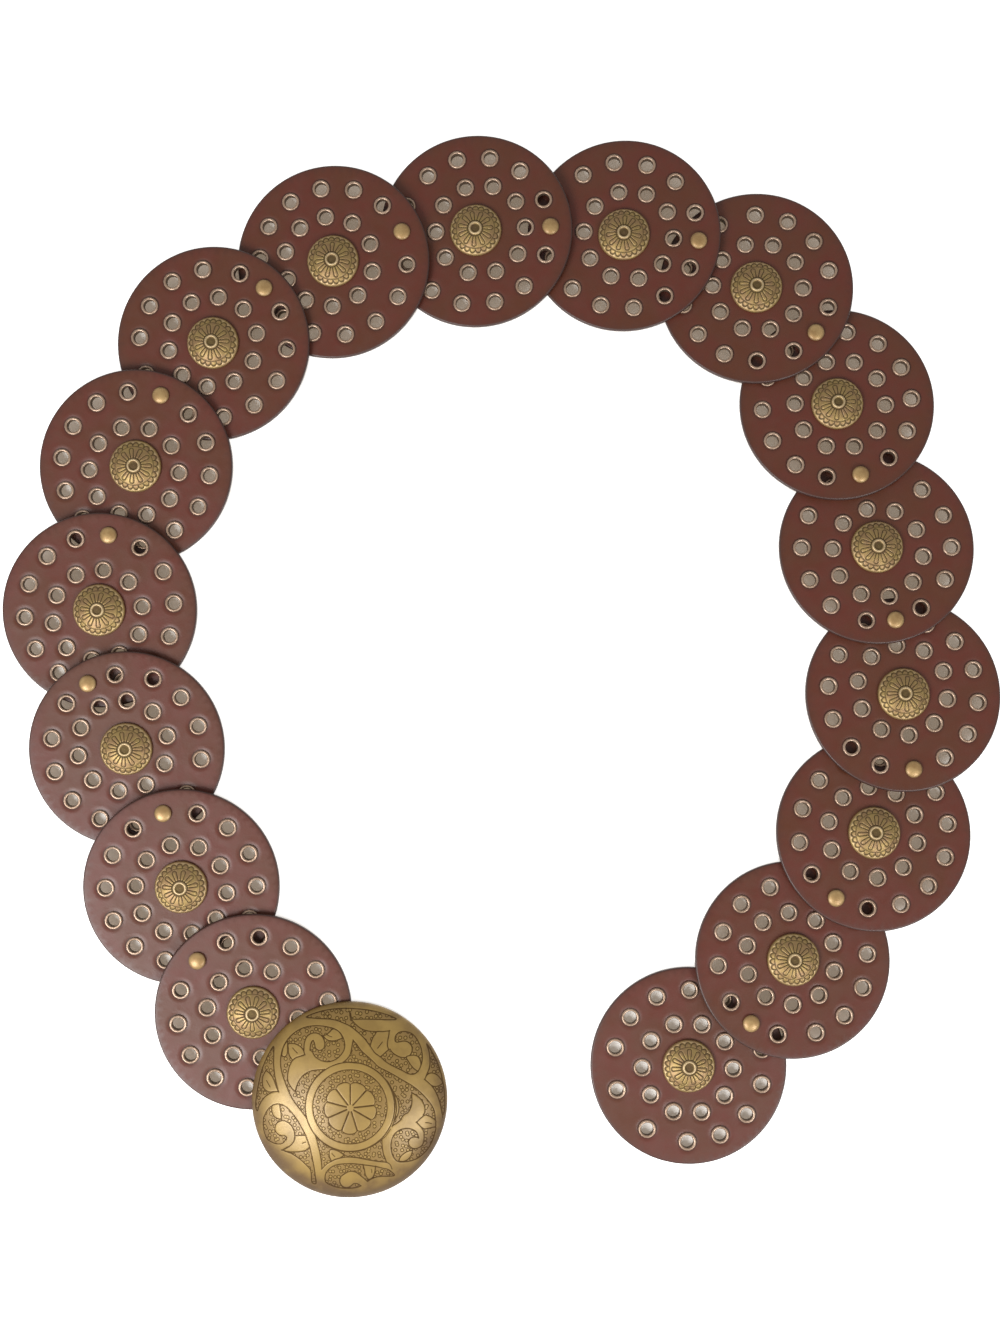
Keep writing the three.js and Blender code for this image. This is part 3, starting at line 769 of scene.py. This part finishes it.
# Plain stems that end in a ball, as rows of x, y and half width
stems = dict(
    upperLeft=[(-16.9, 19.5, 1.7), (-17.2, 22.4, 1.25), (-16.9, 25.6, 1.3), (-15.8, 27.6, 1.4), (-14, 28.1, 1.5),
               (-12.7, 27, 1.95), (-12.1, 25.4, 2.05), (-12.1, 24.6, 1.95)],
    upperRight=[(17, 32, 2), (16.7, 28, 1.35), (16.9, 25.4, 1.5), (18.4, 23.6, 2.3), (20.6, 23, 3.1),
                (21.6, 23, 3.3)],
    lowerRight=[(23.5, -5.5, 3), (26.6, -8, 1.7), (28.4, -10.8, 1.15), (28.5, -13, 1.1), (27.6, -14.4, 1.6),
                (26.2, -14.4, 2.3), (25.7, -14.4, 2.3)],
    lowerLeft=[(-30, -17, 2), (-26.6, -15.7, 1.1), (-24.3, -14, 1.5), (-23.8, -11.5, 1.75), (-25.2, -9.3, 2.5),
               (-26.8, -8.6, 3), (-27.2, -8.6, 2.9)],
    bottom=[(6.8, -31.6, 1.4), (3.6, -29.2, 1.7), (0.8, -28.3, 2.5), (-1.4, -29.6, 2.7)],
)

# Leaves with an outline of their own
leaves = dict(
    scrollTop=[(-10.8, 28.4), (-10.8, 28.4), (-9.3, 29), (-8, 30.1), (-6.6, 31.2), (-4.2, 29.9), (-2.9, 27.6),
               (-2.9, 27.6), (-4.5, 26.9), (-6.5, 26.4), (-8.5, 26.6), (-9.7, 27.3)],
    upperLeftA=[(-18.1, 20.9), (-18.1, 20.9), (-18.6, 22.6), (-19.8, 24.1), (-21.6, 25.1), (-23.2, 25.4),
                (-24.7, 25.1), (-24.7, 23.4), (-24.6, 21.8), (-24.1, 20.3), (-23, 18.7), (-23, 18.7),
                (-21.7, 19.7), (-20, 20.3)],
    upperLeftB=[(-27.2, 20.4), (-27, 22.6), (-26.3, 24.6), (-25, 26.4), (-25, 24.2), (-25, 22.2), (-25.6, 20.4)],
    farLeft=[(-33.6, 14.6), (-33.6, 14.6), (-32.5, 13.7), (-31.3, 12.4), (-30.4, 10.6), (-29.6, 8.4),
             (-28.7, 6.2), (-28.7, 6.2), (-30.5, 6.1), (-32.2, 6), (-33.7, 6.6), (-34.8, 8), (-35.1, 10),
             (-34.9, 12.2)],
    upperRightA=[(10.8, 30.1), (13, 30.1), (15.7, 30.4), (15.7, 30.4), (15.5, 28.5), (15.1, 26.5), (15, 24.5),
                 (15.5, 22.9), (15.5, 22.9), (14.4, 22), (13.3, 21), (12.2, 20), (12.2, 20), (10.3, 21.3),
                 (9.2, 22.6), (8.1, 24.3), (8.1, 24.3), (8.6, 26.3), (9.2, 27.8), (10, 28.9)],
    upperRightB=[(22.5, 20), (23.3, 18.3), (24.5, 16.5), (25.8, 15.1), (27.2, 14.2), (27.2, 14.2), (28.1, 15.8),
                 (28.4, 17.3), (28, 18.9), (27.1, 20.2), (25.2, 20.7)],
    farRight=[(29.9, 11), (29.9, 11), (30.6, 12.5), (31.8, 13.4), (33.2, 13.5), (34.8, 12.8), (36, 11.5),
              (37, 9.6), (35.8, 8.6), (34.5, 8.2), (33.2, 8.3), (32, 9.1)],
    right=[(26.7, -6.2), (26.7, -6.2), (27.8, -5), (29, -4), (30, -3.3), (31.3, -3.5), (32.8, -4.3), (34.2, -5.4),
           (34.3, -6.6), (34.2, -7.9), (32.5, -8.3), (31, -8.7), (29.6, -8.8), (28.4, -8)],
    crescent=[(17.6, 5.6), (17.6, 5.6), (18.9, 3.5), (19.5, 1), (19.5, -1.5), (18.9, -3.6), (17.8, -5.4),
              (17.8, -5.4), (18.5, -1.5), (18.4, 1.5)],
    lowerRight=[(19.5, -21.7), (19.5, -21.7), (20, -20.3), (21.2, -19), (22.8, -18), (24.9, -17.3),
                (24.9, -17.3), (24.8, -18.6), (24.1, -20), (22.9, -21.2), (21.2, -21.9)],
    below=[(-7.4, -21.8), (-7.4, -21.8), (-8.2, -20), (-8.3, -18.4), (-7.8, -17.2), (-6.2, -17.2), (-4.4, -17.9),
           (-2.3, -19.3), (-2.3, -19.3), (-4, -20.5), (-5.8, -21)],
    lowerLeftA=[(-31.3, 0.3), (-31.3, -1.6), (-30.8, -3.3), (-29.4, -4.6), (-27.5, -5), (-27.5, -5), (-27.6, -3),
                (-27.9, -1), (-28.4, 1), (-30, 1)],
    lowerLeftB=[(-27.2, -17.3), (-27.2, -17.3), (-25.4, -16.6), (-23.9, -15.6), (-22.7, -14.2), (-22.1, -12.8),
                (-22, -11.6), (-22, -11.6), (-20, -11.5), (-17.8, -11.4), (-17.8, -11.4), (-17.1, -13.2),
                (-16.4, -15.2), (-16.2, -16.1), (-17.4, -17.3), (-19.3, -17.9), (-21.6, -18.1), (-24.4, -18)],
    bottom=[(5.2, -23.2), (5.2, -23.2), (5.8, -25.3), (6.2, -27.3), (7.4, -29.2), (7.4, -29.2), (9, -28.3),
            (9.8, -26.6), (10.2, -23.9), (10.2, -23.9), (7.7, -23.5)],
)

# Single engraved lines: veins of the leaves and the edge of a band
veins = [
    [(-23, 23.7), (-22.1, 22.6), (-21, 21.5)], [(-33.4, 10.6), (-32.7, 9.3), (-32, 8)],
    [(11, 23.4), (12, 24.7), (13, 26)], [(30.3, -6.3), (31.4, -6.4), (32.6, -6.7)],
    [(-7.2, -18.7), (-6.6, -19.4), (-6, -20)], [(-19.1, -14.7), (-18.4, -14.4), (-17.7, -14.2)],
    [(8.6, -25), (8.7, -25.7), (8.7, -26.4)], [(14.6, -22.2), (15.7, -22.8), (16.4, -23.8), (16.8, -25)],
    [(16.2, -8.9), (15, -10.7), (14, -12), (12.8, -13)], [(-9.5, 29), (-8.3, 28.4), (-7.2, 28)],
    [(0.7, 35.2), (0, 37), (-0.4, 38.6)], [(35, 4.6), (36.1, 1.6), (36.8, -1.6), (37, -4.4)],
]
rosette = dict(middle=(0.15, -0.5), lines=(90, 48, 6.5, -30, -73, -111, -156, -195, -233), start=1.6, end=9.4,
               lobe=1.1, ringInner=14.85, ringOuter=17.85)


# A closed or open Catmull-Rom curve through charted points
def curveThrough(points, closed, steps=4):
    points = np.array(points, float)
    count = len(points)
    result = []
    for index in range(count if closed else count - 1):
        if closed:
            before, first, second, after = (points[(index + k) % count] for k in (-1, 0, 1, 2))
        else:
            before, first, second, after = (points[min(max(index + k, 0), count - 1)] for k in (-1, 0, 1, 2))
        for step in range(steps):
            t = step / steps
            result.append(0.5 * (2 * first + (second - before) * t
                                 + (2 * before - 5 * first + 4 * second - after) * t * t
                                 + (3 * first - before - 3 * second + after) * t ** 3))
    if not closed:
        result.append(points[-1])
    return np.array(result)


def segmentDistance(places, starts, ends):
    span = ends - starts
    length = np.maximum((span ** 2).sum(1), 1e-9)
    offset = places[:, None, :] - starts[None]
    along = np.clip((offset * span[None]).sum(2) / length[None], 0, 1)
    return np.hypot(*np.moveaxis(offset - along[..., None] * span[None], 2, 0)), along


# Distance to a closed outline, negative inside it. Places far from it get a plain large value.
def outlineDistance(places, outline, far=3.0):
    result = np.full(len(places), far)
    near = np.all((places > outline.min(0) - far) & (places < outline.max(0) + far), 1)
    inside = places[near]
    starts, ends = outline, np.roll(outline, -1, 0)
    for begin in range(0, len(inside), 4000):
        block = inside[begin:begin + 4000]
        distance = segmentDistance(block, starts, ends)[0].min(1)
        crosses = (starts[None, :, 1] > block[:, None, 1]) != (ends[None, :, 1] > block[:, None, 1])
        rise = np.where(starts[:, 1] == ends[:, 1], 1.0, ends[:, 1] - starts[:, 1])
        cut = starts[:, 0] + (block[:, None, 1] - starts[:, 1]) * (ends[:, 0] - starts[:, 0]) / rise
        odd = (crosses & (block[:, None, 0] < cut)).sum(1) % 2 == 1
        inside[begin:begin + 4000, 0] = np.minimum(distance, far) * np.where(odd, -1, 1)
    result[near] = inside[:, 0]
    return result


def strokeDistance(places, line, far=3.0):      # negative within the stroke's half width
    result = np.full(len(places), far)
    reach = far + line[:, 2:].max() if line.shape[1] > 2 else far
    near = np.all((places > line[:, :2].min(0) - reach) & (places < line[:, :2].max(0) + reach), 1)
    distance, along = segmentDistance(places[near], line[:-1, :2], line[1:, :2])
    if line.shape[1] > 2:
        distance = distance - (line[:-1, 2] + along * (line[1:, 2] - line[:-1, 2])[None])
    result[near] = np.minimum(distance.min(1), far)
    return result


# Signed distances to the outline of the stippled ground and to those of leaves and rosette (negative in them),
# and plain distance to the nearest single line
def readChart(places):
    ground = np.full(len(places), 3.0)
    for cell in groundCells.values():
        ground = np.minimum(ground, outlineDistance(places, curveThrough(cell, True)))
    for stem in stems.values():
        ground = np.maximum(ground, -strokeDistance(places, curveThrough(stem, False)))
    leaf = np.min([outlineDistance(places, curveThrough(leaf, True)) for leaf in leaves.values()], 0)
    ground = np.maximum(ground, -leaf)
    lines = np.full(len(places), 3.0)
    for vein in veins:
        lines = np.minimum(lines, strokeDistance(places, curveThrough(vein, False)) + 0.04)

    # The rosette: radial lines, lobes between them, a stippled ring and a plain ring
    size = rosette
    offset = places - size["middle"]
    radius = np.hypot(*offset.T)
    angle = np.degrees(np.arctan2(offset[:, 1], offset[:, 0]))
    turns = sorted(line % 360 for line in size["lines"])
    for turn in turns:
        ends = np.array([size["middle"] + polar(reach, turn) for reach in (size["start"], size["end"])])
        lines = np.minimum(lines, np.maximum(strokeDistance(places, ends) - 0.1, 0))
    edges = np.array(turns + [turns[0] + 360])
    wrapped = (angle - turns[0]) % 360 + turns[0]
    lobe = np.clip(np.searchsorted(edges, wrapped, side="right") - 1, 0, len(turns) - 1)
    middle = (edges[lobe] + edges[lobe + 1]) / 2
    share = (wrapped - middle) / (edges[lobe + 1] - edges[lobe]) * 2
    lobeRadius = size["end"] - 0.5 + (size["lobe"] + 0.5) * np.sqrt(np.clip(1 - np.abs(share) ** 2.6, 0, 1))
    fromMiddle = np.hypot(*places.T)
    ring = np.maximum(lobeRadius - radius, fromMiddle - size["ringInner"])
    leaf = np.minimum(leaf, fromMiddle - size["ringOuter"])
    return np.minimum(ground, ring), leaf, lines


# Frame of the buckle: middle of its rim's plane, +Z along its lean
def buckleMatrix():
    mesh = cadNodes["buckle"].data
    low = [face for face in mesh.polygons if face.normal.z < -0.97 and face.center.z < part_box("buckle")[1].z * 0.4]
    normal = -sum((face.normal * face.area for face in low), Vector()).normalized()
    middle = sum((face.center * face.area for face in low), Vector()) / sum(face.area for face in low)
    across = Vector((1, 0, 0)) - normal * normal.x
    across.normalize()
    matrix = Matrix((across, normal.cross(across), normal)).transposed().to_4x4()
    matrix.translation = middle
    return matrix


def domeHeight(share, rise, edge):
    return edge + (rise - edge) * (1 - share ** 2) ** buckleShape["fullness"]


# Where the camera sees points given in metres, in millimetres of the chart
def chartPlaces(points):
    lean = math.radians(cameraSetup["lean"])
    toCamera = np.array([0, -math.sin(lean), math.cos(lean)])
    offset = points - (np.array(cameraSetup["aim"]) + cameraSetup["distance"] * toCamera)
    depth = -offset @ toCamera
    focus = cameraSetup["lens"] / 36 * 1333
    across = 500 + focus * offset[:, 0] / depth
    down = 666.5 - focus * (offset @ np.array([0, math.cos(lean), math.sin(lean)])) / depth
    return np.column_stack([across - chartMiddle[0], chartMiddle[1] - down]) * chartScale


# Even net over a round: a square net bent into rings of 8, 16, 24 ... points
def roundNet(rings):
    places = [np.zeros((1, 2))]
    faces = []
    start = 0
    for ring in range(1, rings + 1):
        count = 8 * ring
        places.append(ringPoints((0, 0), ring / rings, count))
        inner = max(count - 8, 1)
        outerStart = start + inner
        for side in range(4):
            corner = side * 2 * ring
            innerCorner = side * 2 * (ring - 1)
            faces.append((start + innerCorner % inner, outerStart + (corner - 1) % count,
                          outerStart + corner, outerStart + corner + 1))
            for step in range(2 * (ring - 1)):
                faces.append((start + innerCorner + step, outerStart + corner + 1 + step,
                              outerStart + (corner + 2 + step) % count, start + (innerCorner + step + 1) % inner))
        start = outerStart
    return np.concatenate(places), faces, start


def makeBuckle(material):
    size = buckleShape
    flat, faces, rimStart = roundNet(size["rings"])
    share = np.minimum(np.hypot(*flat.T), 1)
    outside = np.column_stack([flat * size["radius"], domeHeight(share, size["rise"], size["rimEdge"])])

    # Plain inside, with a flat rim whose faces take several points of the outer net each
    steps = size["steps"]
    perStep = 8 * size["rings"] // steps
    bottom = np.column_stack([flat[rimStart:] * size["radius"], np.zeros(8 * size["rings"])])
    vertices = [outside, bottom]
    bottomStart = len(outside)
    count = len(bottom)
    faces += [(rimStart + k, bottomStart + k, bottomStart + (k + 1) % count, rimStart + (k + 1) % count)
              for k in range(count)]
    previous = None
    start = bottomStart + count
    hollow = size["radius"] - size["wall"]
    for turn in np.linspace(0, math.pi / 2, 8)[:-1]:
        reach = math.cos(turn)
        ring = ringPoints((0, 0), reach * hollow, steps)
        vertices.append(np.column_stack([ring, np.full(steps, domeHeight(reach, size["rise"] - size["wall"], 0))]))
        for step in range(steps):
            following = (step + 1) % steps
            if previous is None:
                rimPart = [bottomStart + (step * perStep + k) % count for k in range(perStep + 1)]
                faces.append((*rimPart[::-1], start + step, start + following))
            else:
                faces.append((previous + step, start + step, start + following, previous + following))
        previous = start
        start += steps
    vertices.append([(0, 0, size["rise"] - size["wall"])])
    faces += [(previous + step, start, previous + (step + 1) % steps) for step in range(steps)]
    vertices = np.concatenate(vertices) * mm

    matrix = buckleMatrix()
    world = vertices @ np.array(matrix.to_3x3()).T + np.array(matrix.translation)
    ground, leaf, lines, radial = (np.full(len(vertices), value) for value in (3.0, 3.0, 3.0, 1.0))
    # Painted shade: the radial share is raised towards the lower right, so that the rim darkens more on that side.
    shadedSide = polar(0.1, 285)
    radial[:bottomStart] = share + flat @ shadedSide
    ground[:bottomStart], leaf[:bottomStart], lines[:bottomStart] = readChart(chartPlaces(world[:bottomStart]))
    nearest = np.minimum(np.minimum(np.abs(ground), np.abs(leaf)), lines)
    sink = 0.06 * np.exp(-(nearest / 0.25) ** 2) + 0.03 * np.clip(-ground / 0.3, 0, 1)
    sink[:bottomStart] *= np.clip((1 - share) / 0.03, 0, 1)
    vertices[:bottomStart, 2] -= sink[:bottomStart] * mm
    piece = newPiece("buckle_plate", vertices, faces, material, smoothBelow=60)
    for name, values in (("ground", ground), ("leaf", leaf), ("lines", lines), ("radial", radial)):
        setAttribute(piece, name, values)
    piece.data.transform(matrix)
    return settle(piece, ["buckle"])


# White ground, lit from below but for the part that the belt covers
floorLook = dict(bare=(0.85, 0.84, 0.82), bareGlow=(0.8, 0.8, 0.79), covered=(0.9301, 0.9301, 0.9131),
                 coveredGlow=(0.155, 0.12, 0.082), fadeFrom=-1.5, fadeTo=0.2, half=3000, depth=0.15)


def makeFloor():
    look = floorLook
    finish = Finish("pale_floor")
    away = None
    for name in cadNodes:
        if name.startswith("disc_") or name == "buckle":
            middle = middleOf(name)
            radius = discShape["radius"] if name.startswith("disc_") else buckleShape["radius"]
            toMiddle = finish.add("ShaderNodeVectorMath", {"operation": "DISTANCE"},
                                  {0: finish.place(), 1: (middle.x, middle.y, 0)}, output="Value")
            gap = toMiddle - radius * mm
            away = gap if away is None else away.smaller(gap)
    bare = away.range(look["fadeFrom"] * mm, look["fadeTo"] * mm)
    material = finish.finish(
        Base_Color=finish.mix(bare, look["covered"], look["bare"]), Roughness=0.85, Specular_IOR_Level=0.2,
        Emission_Color=finish.mix(bare, look["coveredGlow"], look["bareGlow"]), Emission_Strength=1.0)
    half = look["half"] * mm
    places = [(x * half, y * half, -look["depth"] * mm) for x, y in ((-1, -1), (1, -1), (1, 1), (-1, 1))]
    newPiece("floor", places, [(0, 1, 2, 3)], material)


# Light of the white room round the table and of the darker ceiling over it, with the heights of a
# direction between which one fades into the other, and the two square boxes (metres and watts)
studio = dict(around=0.66, overhead=0.3, fadeFrom=0.75, fadeTo=0.97,
              boxes=dict(left_box=dict(place=(-0.43, -0.41, 0.6), size=0.4, power=6.7),
                         right_box=dict(place=(0.45, -0.57, 0.6), size=0.36, power=4.0)))


def addBox(name, place, size, power):      # a square lamp that faces the belt's middle
    light = bpy.data.lights.new(name, "AREA")
    light.shape = "SQUARE"
    light.size = size
    light.energy = power
    holder = bpy.data.objects.new(name, light)
    holder.location = place
    holder.rotation_euler = (-Vector(place)).to_track_quat("-Z", "Y").to_euler()
    bpy.context.scene.collection.objects.link(holder)


def makeStudio():
    world = bpy.data.worlds.new("studio")
    world.use_nodes = True
    nodes = world.node_tree.nodes
    links = world.node_tree.links
    direction = nodes.new("ShaderNodeTexCoord")
    split = nodes.new("ShaderNodeSeparateXYZ")
    fade = nodes.new("ShaderNodeMapRange")
    ends = {"From Min": "fadeFrom", "From Max": "fadeTo", "To Min": "around", "To Max": "overhead"}
    for socket, key in ends.items():
        fade.inputs[socket].default_value = studio[key]
    links.new(direction.outputs["Generated"], split.inputs[0])
    links.new(split.outputs["Z"], fade.inputs["Value"])
    links.new(fade.outputs["Result"], nodes["Background"].inputs["Strength"])
    nodes["Background"].inputs["Color"].default_value = (1, 1, 1, 1)
    bpy.context.scene.world = world
    for name, box in studio["boxes"].items():
        addBox(name, **box)
    bpy.context.scene.view_settings.view_transform = "Standard"


# The photograph's camera: 0.7 m above the belt and leaning 2.2 degrees, its near side at the buckle's end
cameraSetup = dict(distance=0.7, lean=2.2, aim=(-0.00038, -0.00206, 0.0), lens=48.0)


def makeCamera():
    lean = math.radians(cameraSetup["lean"])
    aim = Vector(cameraSetup["aim"])
    camera = bpy.data.cameras.new("camera")
    camera.sensor_fit = "VERTICAL"
    camera.sensor_height = 36
    camera.lens = cameraSetup["lens"]
    camera.clip_start = 0.01
    holder = bpy.data.objects.new("camera", camera)
    holder.location = aim + cameraSetup["distance"] * Vector((0, -math.sin(lean), math.cos(lean)))
    holder.rotation_euler = (lean, 0, 0)
    bpy.context.scene.collection.objects.link(holder)
    bpy.context.scene.camera = holder


makeCamera()
makeStudio()
makeFloor()
materials = makeMaterials()
discs = readDiscs()
for disc in discs:
    makeDisc(disc, materials["leather"])
print("leather discs made:", len(discs))
makeEyelets(discs, materials["eyelet"])
print("eyelets made")
makeRivets(materials["rivet"])
print("rivets made")
for disc in discs:
    makeConcho(disc, materials["concho"])
print("conchos made")
makeBuckle(materials["buckle"])
print("buckle made")
clasp = cadNodes["buckle_clasp"]
clasp.data.materials.clear()
clasp.data.materials.append(materials["rivet"])
